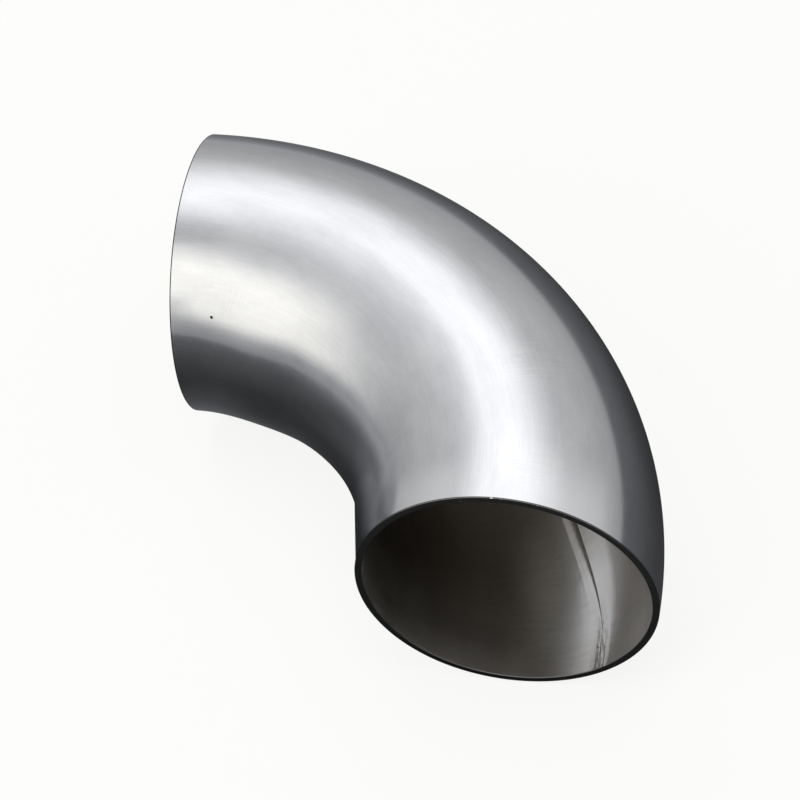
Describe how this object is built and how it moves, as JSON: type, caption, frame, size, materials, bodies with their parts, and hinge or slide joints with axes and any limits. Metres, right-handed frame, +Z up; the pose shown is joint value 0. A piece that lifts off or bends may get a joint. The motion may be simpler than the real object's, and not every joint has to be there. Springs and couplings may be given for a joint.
{
  "type": "pipe elbow",
  "caption": "Butt-welding 90-degree long-radius pipe elbow in thin-walled polished stainless steel, with square-cut open ends and a longitudinal weld seam inside.",
  "frame": {"origin": "middle of the bounding box's underside, on the surface that the elbow lies on", "axes": "the bend lies in a horizontal plane; +Z up; one end faces -Y, the other faces -X"},
  "size_m": [0.1588, 0.1588, 0.0889],
  "materials": {
    "satin_stainless": "fine satin polish outside, drawn and pickled inside",
    "weld_metal": "ground flush and polished outside, as welded inside"
  },
  "bodies": {
    "root": {"elbow_body": "satin_stainless", "seam_weld": "weld_metal"}
  },
  "joints": []
}
